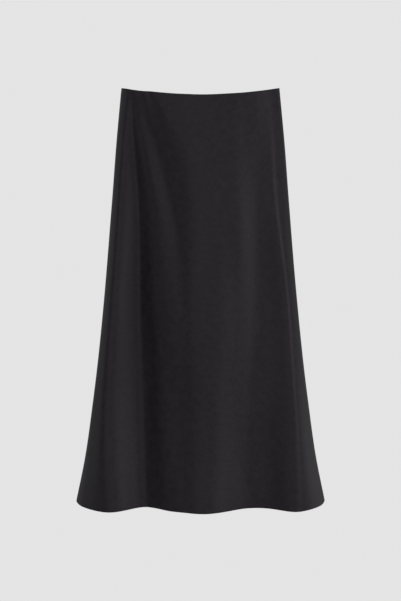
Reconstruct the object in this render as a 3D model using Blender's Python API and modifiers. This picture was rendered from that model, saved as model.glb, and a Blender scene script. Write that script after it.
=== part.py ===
"""Satin maxi skirt: a plain bias-cut skirt, filled out and hollow, with a concealed back zip.

Metres, +Z up. The front faces -Y and +X is the viewer's right of someone facing that front.
The origin is the centre of the waist ring, at the height of the waist edge at the side seams.

The cloth follows one surface. A row of SECTIONS gives the body of the skirt at one height,
and a row of FOLDS sinks one soft trough, that deepens or fades between waist and hem, into
its front or back. Every cut piece, and each half of the zip behind them, is a stretch of
that surface, moved in or out along its own normal.
"""

import math

import bmesh
import bpy
import numpy as np
from mathutils import Matrix, Vector

# ---------------------------------------------------------------- driving dimensions
SIDE_LENGTH = 0.833          # height of the side seam, waist edge to hem
CLOTH = 0.0015               # wall of every cut panel
SEAM_GAP = 0.0004            # between the panels at a seam, on the outside of the cloth
GAP = 0.0003                 # between pieces that lie on each other

FRONT_DIP = (0.0100, 0.0182)  # fall of the waist edge at centre front: by cos and by cos squared
BACK_DIP = 0.0100             # fall of the waist edge at centre back
SIDE_LIFT = 0.0060            # rise of the hem where it turns round the side seams

FRONT, BACK = -1, 1          # which way a half of the skirt faces along Y

# Body of the skirt at seven heights. Squareness is the power of the ring: 2 is an ellipse.
SECTION_COLUMNS = ("drop", "half_width", "front_depth", "back_depth", "squareness")
SECTIONS = np.array((
    (0.000, 0.1590, 0.088, 0.096, 2.50),      # waist edge
    (0.105, 0.1685, 0.100, 0.114, 2.55),      # high hip
    (0.226, 0.1770, 0.112, 0.130, 2.60),      # hip
    (0.428, 0.1932, 0.128, 0.144, 2.65),      # thigh
    (0.629, 0.2150, 0.144, 0.158, 2.60),      # knee
    (0.750, 0.2320, 0.156, 0.168, 2.40),      # calf
    (SIDE_LENGTH, 0.2492, 0.168, 0.178, 2.10),  # hem
))

# Soft troughs. Each entry is at the waist, a quarter, half and three quarters down, and at the hem.
# angle: degrees round the half from its centre line, negative towards -X.
# depth: how far the bottom of the trough lies inside the body of the skirt.
# outer, inner: degrees from its bottom to its side-seam edge and to its centre-line edge.
# lean: degrees by which it is pressed towards the centre line rather than straight in.
# roundness: power of its section on its outer and inner side, where 2 is broad and 1 is a crease.
STATIONS = (0.0, 0.25, 0.5, 0.75, 1.0)
FOLD_COLUMNS = ("name", "half", "angle", "depth", "outer", "inner", "lean", "roundness")
FOLDS = (
    ("front_left", FRONT, (-52, -45.5, -41, -33, -24), (0.003, 0.036, 0.056, 0.069, 0.065),
     (9, 18, 22, 29, 27), (18, 44, 42, 40, 31), (12, 22, 19, 10, -2), (1.6, 1.8)),
    ("front_cross", FRONT, (-43, -20, -10, -8, -4), (0.0075, 0.016, 0.018, 0.020, 0.016),
     (9, 15, 23, 18, 13), (11, 44, 32, 27, 22), (42, 18, 16, 10, 4), (2.2, 1.8)),
    ("front_right", FRONT, (37, 34, 31, 26, 22), (0.004, 0.016, 0.040, 0.052, 0.058),
     (26, 19, 31, 32, 30), (48, 50, 50, 46, 33), (0, 0, 0, 0, 0), (2.3, 1.8)),
    ("back_left", BACK, (-58, -50, -44, -37, -31), (0.003, 0.022, 0.042, 0.058, 0.068),
     (16, 15, 20, 28, 30), (14, 27, 33, 34, 34), (25, 18, 12, 6, 0), (1.6, 1.6)),
    ("back_cross", BACK, (42, 29, 20, 15, 12), (0.003, 0.008, 0.010, 0.012, 0.006),
     (12, 14, 20, 24, 18), (12, 14, 18, 24, 22), (0, 0, 0, 0, 0), (1.8, 1.8)),
    ("back_right", BACK, (48, 43, 38, 33, 29), (0.002, 0.012, 0.030, 0.044, 0.055),
     (24, 26, 30, 31, 30), (28, 30, 34, 36, 32), (0, 0, 0, 0, 0), (2.2, 1.6)),
)
RIM_POWER = 3                # how softly a trough's section runs out at its edges
FOLD_LIFT = 0.09             # rise of the hem in a trough, as a share of the trough's depth
LIFT_POWER = 4               # how closely that rise keeps to the hem

FOLD_TABLE = {row[0]: dict(zip(FOLD_COLUMNS, row)) for row in FOLDS}

# Cut panels. Lines of the mesh follow the troughs: each guide is a fixed angle, or a trough's
# name with "edge" for its side-seam edge or "bottom", and the faces from the guide before it.
PANELS = (
    ("front_panel", FRONT, (
        (-90, "", 0), ("front_left", "edge", 8), ("front_left", "bottom", 9), (0, "", 14),
        ("front_right", "bottom", 10), ("front_right", "edge", 8), (90, "", 7))),
    ("back_left_panel", BACK, (
        (-90, "", 0), ("back_left", "edge", 7), ("back_left", "bottom", 7), (0, "", 11))),
    ("back_right_panel", BACK, (
        (0, "", 0), ("back_right", "bottom", 11), ("back_right", "edge", 7), (90, "", 7))),
)
SIDE_CLEAR = 2               # least degrees from a trough's edge to the side seam
ROWS = 21                    # faces down a panel, below the rows at the waist edge
EDGE_DROPS = (0.0, 0.006, 0.010, 0.014)   # rows near the waist edge, where the zip ends

# Concealed zip in the centre-back seam
NOTCH_GAP = 0.0024           # opening of the seam where the slider's neck passes
NOTCH_DEPTH = 0.010          # how far down that opening keeps its full width
TAPE_TOP = 0.002             # below the waist edge
TAPE_LENGTH = 0.200
TAPE_WIDTH = 0.012
TAPE = 0.0010                # thickness of the tape
TAPE_COLUMNS = 3             # faces across a tape
TAPE_ROWS = 8                # faces down a tape, below the rows at the waist edge
COIL_RADIUS = 0.0015
COIL_POINTS = 10
SLIDER_DROP = 0.0065         # middle of the slider below the waist edge
SLIDER_SIZE = (0.0072, 0.0034, 0.0090)    # width, thickness, height
SLIDER_ROUNDING = 0.0008
NECK_ROOT = 0.0005           # how far the neck starts inside the slider
NECK_WIDTH = 0.0011
NECK_HEIGHT = 0.0036
LUG_RADIUS = 0.0014          # middle of the ring that carries the pull
LUG_WIRE = 0.00045
LUG_OUT = 0.0010             # hinge axis outside the cloth
PULL_LENGTH = 0.026
PULL_TOP_WIDTH = 0.0044
PULL_WIDTH = 0.0062
PULL_SHOULDER = 0.004        # reach of the curve below the pull's top corners
PULL_FLARE = 0.007           # reach of the curve above its widest part
CIRCLE_HANDLE = 0.552        # handle of a quarter circle, as a share of its radius
PULL_THICK = 0.0010
PULL_BAR = 0.0009            # height of the bar that turns in the lug
PULL_HOLE = (0.0021, 0.0022)  # width and height of the hole under that bar

NORMAL_STEP = 0.02           # degrees and parts per thousand, for the slope of the surface


# ---------------------------------------------------------------- the surface
def smooth_through(places, values, where):
    """Smooth curve through the values at rising places, read at other places."""
    places, values = np.asarray(places, float), np.asarray(values, float)
    slopes = np.gradient(values, places)
    where = np.clip(where, places[0], places[-1])
    row = np.clip(np.searchsorted(places, where) - 1, 0, len(places) - 2)
    span = places[row + 1] - places[row]
    s = (where - places[row]) / span
    return (
        (2 * s**3 - 3 * s**2 + 1) * values[row]
        + (s**3 - 2 * s**2 + s) * span * slopes[row]
        + (3 * s**2 - 2 * s**3) * values[row + 1]
        + (s**3 - s**2) * span * slopes[row + 1]
    )


def section(column, level):
    """Value of a SECTIONS column at a level, from 0 at the waist to 1 at the hem."""
    values = SECTIONS[:, SECTION_COLUMNS.index(column)]
    return smooth_through(SECTIONS[:, 0], values, np.asarray(level) * SIDE_LENGTH)


def between(stations, level):
    """Smooth value of a fold at a level, through its values at the STATIONS."""
    return smooth_through(STATIONS, stations, level)


def skirt_point(half, angle, level):
    """Point on the outside of the cloth, as an array whose last axis is X, Y, Z."""
    angle, level = np.broadcast_arrays(np.asarray(angle, float), np.asarray(level, float))
    across, facing = np.sin(np.radians(angle)), np.cos(np.radians(angle))
    power = section("squareness", level)
    reach = (np.abs(across) ** power + np.abs(facing) ** power) ** (-1 / power)
    depth = section("front_depth" if half == FRONT else "back_depth", level)
    x = section("half_width", level) * across * reach
    y = half * depth * facing * reach
    if half == FRONT:
        dip = FRONT_DIP[0] * facing + FRONT_DIP[1] * facing**2
    else:
        dip = BACK_DIP * facing**2
    z = -dip * (1 - level) - SIDE_LENGTH * level + SIDE_LIFT * level * (1 - facing) ** 2

    for fold in FOLD_TABLE.values():
        if fold["half"] != half:
            continue
        bottom = between(fold["angle"], level)
        outwards = np.sign(bottom)
        away = (angle - bottom) * outwards
        spread = np.where(away > 0, between(fold["outer"], level), between(fold["inner"], level))
        power = np.where(away > 0, *fold["roundness"])
        hollow = (1 - np.clip(np.abs(away) / spread, 0, 1) ** power) ** RIM_POWER
        press = between(fold["depth"], level) * hollow
        lean = np.radians(between(fold["lean"], level))
        x = x - outwards * press * np.sin(lean)
        y = y - half * press * np.cos(lean)
        z = z + FOLD_LIFT * press * level**LIFT_POWER
    return np.stack((x, y, z), axis=-1)


def skirt_normal(half, angle, level):
    """Unit normal of the cloth, pointing out of the skirt."""
    step = NORMAL_STEP
    level_step = step / 1000
    round_it = skirt_point(half, angle + step, level) - skirt_point(half, angle - step, level)
    down_it = skirt_point(half, angle, level + level_step) - skirt_point(half, angle, level - level_step)
    normal = half * np.cross(round_it, down_it)
    return normal / np.linalg.norm(normal, axis=-1, keepdims=True)


def centre_back_angle(x, level):
    """Angle round the back at which the cloth lies x from the centre line, for a small x."""
    return np.degrees(x / section("half_width", level))


def centre_back(drop, out=0.0):
    """Point on the centre-back line, a length below the waist edge and a length outside the cloth."""
    level = drop / SIDE_LENGTH
    return Vector(skirt_point(BACK, 0.0, level) + out * skirt_normal(BACK, 0.0, level))


def closure_gap(level):
    """Width of the opening between the two sides of the centre-back seam."""
    drop = level * SIDE_LENGTH
    shut = np.clip((drop - NOTCH_DEPTH) / (EDGE_DROPS[-1] - NOTCH_DEPTH), 0, 1)
    return NOTCH_GAP + (SEAM_GAP - NOTCH_GAP) * shut


# ---------------------------------------------------------------- building tools
def material(name, color, roughness, metallic=0.0):
    """Principled material of one colour."""
    made = bpy.data.materials.new(name)
    made.use_nodes = True
    shader = made.node_tree.nodes["Principled BSDF"]
    shader.inputs["Base Color"].default_value = (*color, 1.0)
    shader.inputs["Roughness"].default_value = roughness
    shader.inputs["Metallic"].default_value = metallic
    return made


def add_mesh(name, mesh, collection, finish, place=None):
    """Object for a mesh, in a collection, with its material and its place."""
    piece = bpy.data.objects.new(name, mesh)
    collection.objects.link(piece)
    if finish is not None:
        mesh.materials.append(finish)
    if place is not None:
        piece.matrix_world = place
    return piece


def cloth_sheet(name, points, half, thickness, collection, finish):
    """Wall of cloth through outside points, one row of the array for each column of the cloth.

    The columns run from -X to +X and their points from the waist down. On the back the grid
    is turned over, so that its faces point out of the skirt there too.
    """
    columns, rows = points.shape[:2]
    sheet = bmesh.new()
    bmesh.ops.create_grid(sheet, x_segments=columns - 1, y_segments=rows - 1, size=0.5)
    for vertex in sheet.verts:
        column = round((vertex.co.x + 0.5) * (columns - 1))
        row = round((0.5 - vertex.co.y) * (rows - 1))
        if half == BACK:
            column = columns - 1 - column
        vertex.co = points[column, row]
    mesh = bpy.data.meshes.new(name)
    sheet.to_mesh(mesh)
    sheet.free()
    mesh.shade_smooth()
    piece = add_mesh(name, mesh, collection, finish)
    wall = piece.modifiers.new("wall", "SOLIDIFY")
    wall.thickness = thickness
    wall.offset = -1.0
    wall.use_even_offset = True
    return piece


def local_frame(origin):
    """Placement at a point of the centre-back line: X across, Y out of the skirt, Z up the cloth."""
    here, below = centre_back(0.0), centre_back(PULL_LENGTH)
    up = (here - below).normalized()
    out = up.cross(Vector((1, 0, 0))).normalized()
    turn = Matrix((Vector((1, 0, 0)), out, up)).transposed().to_4x4()
    return Matrix.Translation(origin) @ turn


# ---------------------------------------------------------------- cut pieces
def panel_levels():
    """Levels of a panel's rows, closer together at the waist edge."""
    edge = [drop / SIDE_LENGTH for drop in EDGE_DROPS]
    rest = np.linspace(edge[-1], 1.0, ROWS + 1)[1:]
    return np.array(edge + list(rest))


def guide_angle(guide, place, levels):
    """Angle of a guide at each level: fixed, or along the bottom or side-seam edge of a trough."""
    if guide not in FOLD_TABLE:
        return np.full(len(levels), float(guide))
    fold = FOLD_TABLE[guide]
    bottom = between(fold["angle"], levels)
    if place == "bottom":
        return bottom
    reach = np.minimum(between(fold["outer"], levels), 90 - SIDE_CLEAR - np.abs(bottom))
    return bottom + np.sign(bottom) * reach


def panel_angles(guides, levels):
    """Angles of a panel's grid, evenly spread from each guide to the next."""
    angles = [guide_angle(*guides[0][:2], levels)]
    for guide, place, faces in guides[1:]:
        start, end = angles[-1], guide_angle(guide, place, levels)
        angles += [start + (end - start) * step / faces for step in range(1, faces + 1)]
    return np.array(angles)


def build_panels(collection, satin):
    """Front in one piece, and the back in two that meet at the zip."""
    levels = panel_levels()
    for name, half, guides in PANELS:
        angles = panel_angles(guides, levels)
        points = skirt_point(half, angles, levels)
        points[..., 1] = half * np.maximum(half * points[..., 1], SEAM_GAP / 2)
        if half == BACK:
            side = np.sign(angles.mean())
            points[..., 0] = side * np.maximum(side * points[..., 0], closure_gap(levels) / 2)
        cloth_sheet(name, points, half, CLOTH, collection, satin)


# ---------------------------------------------------------------- zip
def build_tape(name, side, collection, tape):
    """Half of the zip's tape, a strip just inside the back panels beside the centre-back seam."""
    rest = np.linspace(EDGE_DROPS[-1], TAPE_TOP + TAPE_LENGTH, TAPE_ROWS + 1)[1:]
    levels = np.array((TAPE_TOP, *EDGE_DROPS[1:], *rest)) / SIDE_LENGTH
    near = closure_gap(levels) / 2
    shares = np.linspace(0, 1, TAPE_COLUMNS + 1)
    across = near + shares[:, None] * (TAPE_WIDTH - near)
    x = side * (across if side > 0 else across[::-1])
    angles = centre_back_angle(x, levels)
    inside = CLOTH + GAP
    points = skirt_point(BACK, angles, levels) - inside * skirt_normal(BACK, angles, levels)
    cloth_sheet(name, points, BACK, TAPE, collection, tape)


def build_coil(collection, nylon):
    """The closed coils of the zip, as one plain cord inside the two tapes."""
    depth = CLOTH + GAP + TAPE + GAP + COIL_RADIUS
    start = SLIDER_DROP + SLIDER_SIZE[2] / 2 + GAP
    drops = np.linspace(start, TAPE_TOP + TAPE_LENGTH - COIL_RADIUS, COIL_POINTS)
    curve = bpy.data.curves.new("zip_coil", "CURVE")
    curve.dimensions = "3D"
    curve.bevel_depth = COIL_RADIUS
    curve.bevel_resolution = 2
    curve.use_fill_caps = True
    line = curve.splines.new("POLY")
    line.points.add(len(drops) - 1)
    for point, drop in zip(line.points, drops):
        point.co = (*centre_back(drop, -depth), 1.0)
    curve.materials.append(nylon)
    coil = bpy.data.objects.new("zip_coil", curve)
    collection.objects.link(coil)


def box_mesh(name, size):
    """Box of a size round its own middle."""
    form = bmesh.new()
    bmesh.ops.create_cube(form, size=1.0)
    bmesh.ops.scale(form, vec=size, verts=form.verts)
    mesh = bpy.data.meshes.new(name)
    form.to_mesh(mesh)
    form.free()
    return mesh


def join_to(piece, cutter):
    """Union of a piece with a hidden guide."""
    cutter.hide_render = True
    cutter.display_type = "WIRE"
    union = piece.modifiers.new(cutter.name, "BOOLEAN")
    union.operation = "UNION"
    union.object = cutter


def build_slider(collection, cutters, metal):
    """Slider inside the seam, its neck through the notch, and the ring outside it."""
    width, thickness, height = SLIDER_SIZE
    outside = -(CLOTH + GAP + TAPE + GAP)
    place = local_frame(centre_back(SLIDER_DROP, outside - thickness / 2))
    slider = add_mesh("zip_slider", box_mesh("zip_slider", (width, thickness, height)),
                      collection, metal, place)
    rounding = slider.modifiers.new("rounding", "BEVEL")
    rounding.width = SLIDER_ROUNDING
    rounding.segments = 2

    neck_start, neck_end = outside - NECK_ROOT, LUG_OUT - LUG_RADIUS
    neck_mesh = box_mesh("neck", (NECK_WIDTH, neck_end - neck_start, NECK_HEIGHT))
    neck_place = local_frame(centre_back(SLIDER_DROP, (neck_start + neck_end) / 2))
    join_to(slider, add_mesh("neck", neck_mesh, cutters, None, neck_place))

    bpy.ops.mesh.primitive_torus_add(
        major_radius=LUG_RADIUS, minor_radius=LUG_WIRE, major_segments=20, minor_segments=10)
    lug = bpy.context.active_object
    lug.name = "lug"
    for linked in list(lug.users_collection):
        linked.objects.unlink(lug)
    cutters.objects.link(lug)
    across = Matrix.Rotation(math.radians(90), 4, "Y")
    lug.matrix_world = local_frame(centre_back(SLIDER_DROP, LUG_OUT)) @ across
    join_to(slider, lug)


def build_pull(collection, metal):
    """Flat teardrop tab, with a bar along its top that turns in the slider's ring."""
    outline = bpy.data.curves.new("zip_pull", "CURVE")
    outline.dimensions = "2D"
    outline.fill_mode = "BOTH"
    outline.extrude = PULL_THICK / 2
    outline.resolution_u = 5
    outline.materials.append(metal)

    top = PULL_BAR / 2
    belly = top - PULL_LENGTH + PULL_WIDTH / 2
    half_top, half_wide = PULL_TOP_WIDTH / 2, PULL_WIDTH / 2
    shoulder, flare = top - PULL_SHOULDER, belly + PULL_FLARE
    tip, rounding = belly - half_wide, CIRCLE_HANDLE * half_wide
    corners = (
        # point, handle before, handle after
        ((half_top, top), (0.0, top), (half_top, shoulder)),
        ((half_wide, belly), (half_wide, flare), (half_wide, belly - rounding)),
        ((0.0, tip), (rounding, tip), (-rounding, tip)),
        ((-half_wide, belly), (-half_wide, belly - rounding), (-half_wide, flare)),
        ((-half_top, top), (-half_top, shoulder), (0.0, top)),
    )
    edge = outline.splines.new("BEZIER")
    edge.use_cyclic_u = True
    edge.bezier_points.add(len(corners) - 1)
    for knot, (point, before, after) in zip(edge.bezier_points, corners):
        knot.co = (*point, 0.0)
        knot.handle_left_type = knot.handle_right_type = "FREE"
        knot.handle_left = (*before, 0.0)
        knot.handle_right = (*after, 0.0)

    hole_width, hole_height = PULL_HOLE
    under_bar = -PULL_BAR / 2
    hole = outline.splines.new("POLY")
    hole.use_cyclic_u = True
    hole.points.add(3)
    sides = ((-1, 0), (1, 0), (1, 1), (-1, 1))
    for point, (side, down) in zip(hole.points, sides):
        point.co = (side * hole_width / 2, under_bar - down * hole_height, 0.0, 1.0)

    axis = local_frame(centre_back(SLIDER_DROP, LUG_OUT))
    pull = bpy.data.objects.new("zip_pull", outline)
    collection.objects.link(pull)
    pull.matrix_world = axis @ Matrix.Rotation(math.radians(90), 4, "X")


# ---------------------------------------------------------------- assembly
def clear_scene():
    """Remove every object of the scene that the file opens with."""
    for leftover in list(bpy.data.objects):
        bpy.data.objects.remove(leftover, do_unlink=True)


def new_collection(name):
    """Collection linked to the scene."""
    made = bpy.data.collections.new(name)
    bpy.context.scene.collection.children.link(made)
    return made


def main():
    """Build the skirt."""
    clear_scene()
    skirt = new_collection("satin_maxi_skirt")
    cutters = new_collection("cutters")
    satin = material("black_satin", (0.016, 0.015, 0.017), 0.42)
    tape = material("zip_tape", (0.013, 0.013, 0.014), 0.85)
    nylon = material("zip_coil", (0.018, 0.018, 0.019), 0.45)
    metal = material("zip_metal", (0.020, 0.020, 0.022), 0.35, 0.8)

    build_panels(skirt, satin)
    build_tape("zip_tape_left", -1, skirt, tape)
    build_tape("zip_tape_right", 1, skirt, tape)
    build_coil(skirt, nylon)
    build_slider(skirt, cutters, metal)
    build_pull(skirt, metal)


main()
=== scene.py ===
"""Looks of a black satin maxi skirt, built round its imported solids.

The frame gives the solids in metres, +Z up, with the front facing -Y and the origin at the
waist. The cloth of every panel is rebuilt here as a fine shell on the same surface as its
solid, with the smaller creases, turned edges and stitching that the solids leave out.
"""

import logging
import math
from dataclasses import dataclass, field
from enum import Enum
from typing import Mapping, Sequence, Union

import bmesh
import bpy
import numpy as np
from mathutils import Matrix, Vector


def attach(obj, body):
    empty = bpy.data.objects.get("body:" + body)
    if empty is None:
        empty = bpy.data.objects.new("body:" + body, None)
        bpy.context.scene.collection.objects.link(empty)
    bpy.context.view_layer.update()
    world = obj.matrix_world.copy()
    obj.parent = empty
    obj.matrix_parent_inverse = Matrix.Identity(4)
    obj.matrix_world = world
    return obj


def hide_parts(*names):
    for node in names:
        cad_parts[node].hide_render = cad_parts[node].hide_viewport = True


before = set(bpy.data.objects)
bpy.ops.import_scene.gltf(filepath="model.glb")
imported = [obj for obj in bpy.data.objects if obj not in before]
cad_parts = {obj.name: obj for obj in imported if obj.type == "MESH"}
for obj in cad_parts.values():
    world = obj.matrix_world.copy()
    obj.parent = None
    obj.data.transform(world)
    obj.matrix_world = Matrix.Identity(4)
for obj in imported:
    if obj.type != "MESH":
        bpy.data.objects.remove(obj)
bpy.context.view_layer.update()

log = logging.getLogger("skirt")
Stations = tuple[float, ...]      # at the waist, a quarter, a half and three quarters down, hem
Colour = tuple[float, float, float]


# ---------------------------------------------------------------- node trees
class Signal:
    """One output of a node, with Python's operators for its maths."""

    def __init__(self, tree: "Tree", socket: bpy.types.NodeSocket) -> None:
        """Wrap an output socket of a tree."""
        self.tree = tree
        self.socket = socket

    def _math(self, operation: str, first: "Operand", second: "Operand") -> "Signal":
        """Result of a Math node on two operands."""
        return self.tree.add("ShaderNodeMath", {"operation": operation}, {0: first, 1: second})

    def __add__(self, other: "Operand") -> "Signal":
        """Sum."""
        return self._math("ADD", self, other)

    def __sub__(self, other: "Operand") -> "Signal":
        """Difference."""
        return self._math("SUBTRACT", self, other)

    def __rsub__(self, other: "Operand") -> "Signal":
        """Difference from a number."""
        return self._math("SUBTRACT", other, self)

    def __mul__(self, other: "Operand") -> "Signal":
        """Product."""
        return self._math("MULTIPLY", self, other)

    __radd__ = __add__
    __rmul__ = __mul__

    def sine(self) -> "Signal":
        """Sine of the value, in radians."""
        return self._math("SINE", self, 0.0)

    def magnitude(self) -> "Signal":
        """Absolute value."""
        return self._math("ABSOLUTE", self, 0.0)

    def between(self, low: float, high: float) -> "Signal":
        """Smooth step from 0 at low to 1 at high.

        Args:
            low: Value that gives 0.
            high: Value that gives 1, which may be the smaller.

        Returns:
            The step.
        """
        return self.tree.add(
            "ShaderNodeMapRange", {"interpolation_type": "SMOOTHSTEP"},
            {"Value": self, "From Min": low, "From Max": high})


Operand = Union[Signal, float, int]


class Tree:
    """A node tree under construction."""

    def __init__(self, tree: bpy.types.NodeTree) -> None:
        """Wrap a tree that has no nodes yet."""
        self.tree = tree

    def node(self, kind: str, settings: Mapping[str, object] | None = None,
             sockets: Mapping[object, object] | None = None) -> bpy.types.Node:
        """Add a node, set it up, then feed its inputs.

        Args:
            kind: The node's type.
            settings: Its properties.
            sockets: A value or a Signal for each input, by name or number.

        Returns:
            The node.
        """
        made = self.tree.nodes.new(kind)
        for name, value in (settings or {}).items():
            setattr(made, name, value)
        for name, value in (sockets or {}).items():
            if isinstance(value, Signal):
                self.tree.links.new(value.socket, made.inputs[name])
            else:
                made.inputs[name].default_value = value
        return made

    def add(self, kind: str, settings: Mapping[str, object] | None = None,
            sockets: Mapping[object, object] | None = None,
            output: Union[str, int] = 0) -> Signal:
        """Add a node in the same way and return one of its outputs, by name or number."""
        return Signal(self, self.node(kind, settings, sockets).outputs[output])

    def combine(self, x: Operand, y: Operand, z: Operand) -> Signal:
        """Vector of three values."""
        return self.add("ShaderNodeCombineXYZ", {}, {0: x, 1: y, 2: z})


@dataclass(frozen=True)
class Grain:
    """Noise of one kind: marks to the metre, finer layers of them, and how strong those are."""

    scale: float
    detail: float = 2.0
    roughness: float = 0.5


class Shader(Tree):
    """A material whose one surface is a Principled shader."""

    def __init__(self, name: str) -> None:
        """Start an empty material.

        Args:
            name: The material's name.
        """
        self.material = bpy.data.materials.new(name)
        self.material.use_nodes = True
        self.material.node_tree.nodes.clear()
        super().__init__(self.material.node_tree)

    def place(self) -> Signal:
        """Object coordinates, in metres."""
        return self.add("ShaderNodeTexCoord", output="Object")

    def attribute(self, name: str, output: str = "Fac") -> Signal:
        """Value of a mesh attribute."""
        return self.add("ShaderNodeAttribute", {"attribute_name": name}, output=output)

    def stretched(self, vector: Signal, scale: tuple[float, float, float], turn: float) -> Signal:
        """Vector turned about its third axis, then scaled.

        Args:
            vector: The coordinates.
            scale: Factor along each turned axis.
            turn: Angle in degrees.

        Returns:
            The mapped coordinates.
        """
        turned = self.add("ShaderNodeMapping", {}, {
            "Vector": vector, "Rotation": (0.0, 0.0, math.radians(turn))})
        return self.add("ShaderNodeVectorMath", {"operation": "MULTIPLY"}, {0: turned, 1: scale})

    def noise(self, vector: Signal, grain: Grain) -> Signal:
        """Noise centred on zero, within about a half either way.

        Args:
            vector: The coordinates.
            grain: Kind of noise.

        Returns:
            The noise.
        """
        value = self.add("ShaderNodeTexNoise", {"noise_dimensions": "3D"}, {
            "Vector": vector, "Scale": grain.scale, "Detail": grain.detail,
            "Roughness": grain.roughness})
        return value - 0.5

    def blend(self, factor: Operand, first: object, second: object) -> Signal:
        """Mix of two colours.

        Args:
            factor: Share of the second.
            first: Colour, or a Signal of one.
            second: Colour, or a Signal of one.

        Returns:
            The mixed colour.
        """
        sockets = {0: factor}
        for slot, colour in ((6, first), (7, second)):
            sockets[slot] = colour if isinstance(colour, Signal) else (*colour, 1.0)
        return self.add("ShaderNodeMix", {"data_type": "RGBA"}, sockets, output=2)

    def shade(self, colour: Colour, amount: Signal) -> Signal:
        """A colour made lighter or darker by a value round zero.

        Args:
            colour: The colour.
            amount: Share by which it is lighter.

        Returns:
            The shaded colour.
        """
        base = self.add("ShaderNodeRGB")
        base.socket.default_value = (*colour, 1.0)
        level = 1 + amount
        return self.add("ShaderNodeVectorMath", {"operation": "MULTIPLY"},
                        {0: base, 1: self.combine(level, level, level)})

    def bump(self, height: Signal) -> Signal:
        """Normal bent by a height in metres."""
        return self.add("ShaderNodeBump", {}, {"Height": height, "Strength": 1.0, "Distance": 1.0})

    def finish(self, fixed: Mapping[str, object],
               varying: Mapping[str, Signal]) -> bpy.types.Material:
        """Add the shader and the output.

        Args:
            fixed: Values that are the same all over.
            varying: Signals for the sockets that change over the surface.

        Returns:
            The material.
        """
        surface = self.add("ShaderNodeBsdfPrincipled", {}, {**fixed, **varying})
        self.node("ShaderNodeOutputMaterial", {}, {"Surface": surface})
        return self.material


class GeometryTree(Tree):
    """A geometry node group for one modifier, which turns a path into finished pieces."""

    def __init__(self, name: str) -> None:
        """Start a group with a geometry input and output.

        Args:
            name: The group's name.
        """
        super().__init__(bpy.data.node_groups.new(name, "GeometryNodeTree"))
        self.identifiers: dict[str, str] = {}
        for way in ("INPUT", "OUTPUT"):
            self.tree.interface.new_socket("Geometry", in_out=way, socket_type="NodeSocketGeometry")
        self.entry = self.tree.nodes.new("NodeGroupInput")

    def named_input(self, name: str, kind: str = "NodeSocketFloat") -> Signal:
        """Add a named input to the group and return it.

        Args:
            name: Label of the input.
            kind: Type of its socket.

        Returns:
            The input.
        """
        made = self.tree.interface.new_socket(name, in_out="INPUT", socket_type=kind)
        self.identifiers[name] = made.identifier
        return Signal(self, self.entry.outputs[name])

    def path(self, pitch: Signal) -> Signal:
        """The input's edges as curves, with a point every pitch along them.

        Args:
            pitch: Distance between points.

        Returns:
            The curves.
        """
        edges = Signal(self, self.entry.outputs[0])
        curve = self.add("GeometryNodeMeshToCurve", {}, {"Mesh": edges})
        return self.add("GeometryNodeResampleCurve", {"mode": "LENGTH"},
                        {"Curve": curve, "Length": pitch})

    def tube(self, curve: Signal, radius: Operand, sides: int) -> Signal:
        """Round tube along a curve.

        Args:
            curve: Middle of the tube.
            radius: Its radius.
            sides: Faces round it.

        Returns:
            The mesh, closed at its ends.
        """
        ring = self.add("GeometryNodeCurvePrimitiveCircle", {"mode": "RADIUS"},
                        {"Resolution": sides, "Radius": radius})
        return self.add("GeometryNodeCurveToMesh", {}, {"Curve": curve, "Profile Curve": ring,
                                                        "Fill Caps": True})

    def join(self, parts: Sequence[Signal]) -> Signal:
        """Several geometries as one.

        Args:
            parts: The geometries.

        Returns:
            All of them.
        """
        joined = self.node("GeometryNodeJoinGeometry")
        for part in parts:
            self.tree.links.new(part.socket, joined.inputs[0])
        return Signal(self, joined.outputs[0])

    def along(self, path: Signal, part: Signal, forward: str, upward: str) -> Signal:
        """Copies of a part on the points of a path.

        Args:
            path: Curve whose points carry the attribute off, the way off the cloth.
            part: Geometry to copy.
            forward: Axis of the part that follows the path.
            upward: Axis of the part that points off the cloth.

        Returns:
            The instances.
        """
        tangent = self.add("GeometryNodeInputTangent")
        off = self.add("GeometryNodeInputNamedAttribute", {"data_type": "FLOAT_VECTOR"},
                       {"Name": "off"})
        turned = self.add("FunctionNodeAlignRotationToVector", {"axis": forward},
                          {"Vector": tangent})
        turned = self.add("FunctionNodeAlignRotationToVector",
                          {"axis": upward, "pivot_axis": forward},
                          {"Rotation": turned, "Vector": off})
        return self.add("GeometryNodeInstanceOnPoints", {},
                        {"Points": path, "Instance": part, "Rotation": turned})

    def close(self, geometry: Signal) -> None:
        """Realize the instances, set their material and end the group.

        Args:
            geometry: What the group makes.
        """
        finish = self.named_input("Finish", "NodeSocketMaterial")
        real = self.add("GeometryNodeRealizeInstances", {}, {"Geometry": geometry})
        smooth = self.add("GeometryNodeSetShadeSmooth", {}, {"Geometry": real})
        dressed = self.add("GeometryNodeSetMaterial", {}, {"Geometry": smooth, "Material": finish})
        self.node("NodeGroupOutput", {}, {0: dressed})

    def grow(self, name: str, path: bpy.types.Mesh,
             values: Mapping[str, object]) -> bpy.types.Object:
        """Run the group on a path and keep the result as a plain mesh.

        Args:
            name: Name of the piece.
            path: Mesh of edges with the attribute off.
            values: A value for each named input.

        Returns:
            The piece.
        """
        carrier = bpy.data.objects.new(f"{name}_path", path)
        bpy.context.scene.collection.objects.link(carrier)
        modifier = carrier.modifiers.new("grow", "NODES")
        modifier.node_group = self.tree
        for label, value in values.items():
            modifier[self.identifiers[label]] = value
        evaluated = carrier.evaluated_get(bpy.context.evaluated_depsgraph_get())
        mesh = bpy.data.meshes.new_from_object(evaluated)
        mesh.name = name
        carrier.modifiers.clear()
        bpy.data.objects.remove(carrier)
        return add_object(name, mesh)


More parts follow.
